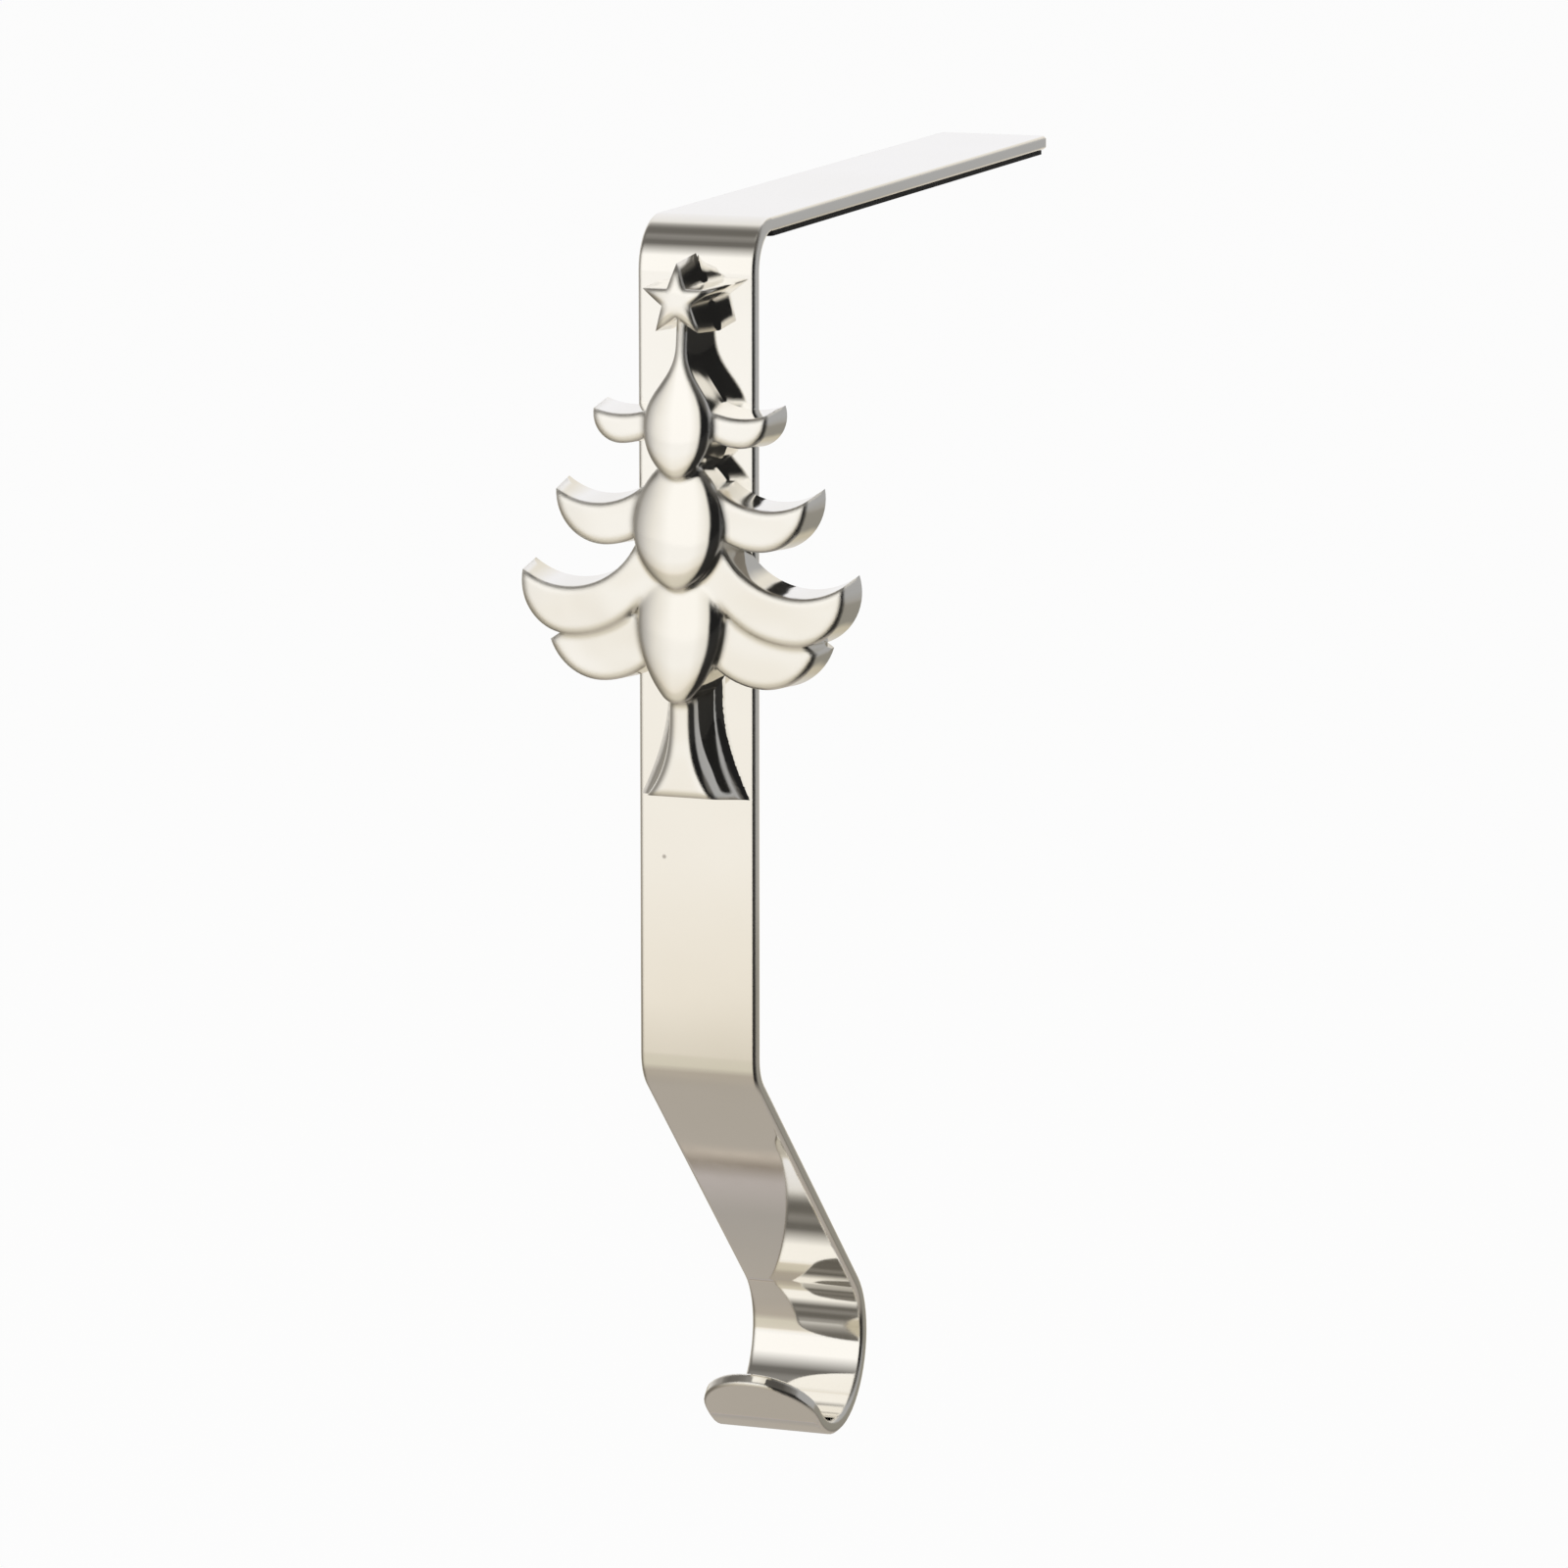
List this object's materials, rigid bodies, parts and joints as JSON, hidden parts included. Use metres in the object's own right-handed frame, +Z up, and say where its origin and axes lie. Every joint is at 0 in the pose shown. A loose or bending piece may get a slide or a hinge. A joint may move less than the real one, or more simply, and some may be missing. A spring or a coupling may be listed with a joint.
{
  "type": "mantel hook",
  "caption": "Bent flat-strap shelf hook: a padded plate rests on a shelf, a cast tree decorates the upright, and a J below holds a hung ornament or stocking.",
  "frame": {"origin": "middle of the underside of the pad, where the plate rests on the shelf", "axes": "+Z up, -Y towards the front where the tree faces, +Y back along the plate over the shelf, X across the strap"},
  "size_m": [0.0564, 0.1606, 0.2086],
  "materials": {
    "strap": "bright nickel plate on polished steel",
    "tree_ornament": "bright nickel plate on a polished zinc casting",
    "non_slip_pad": "matte"
  },
  "bodies": {
    "root": {"strap": "strap", "tree_ornament": "tree_ornament", "non_slip_pad": "non_slip_pad"}
  },
  "joints": []
}
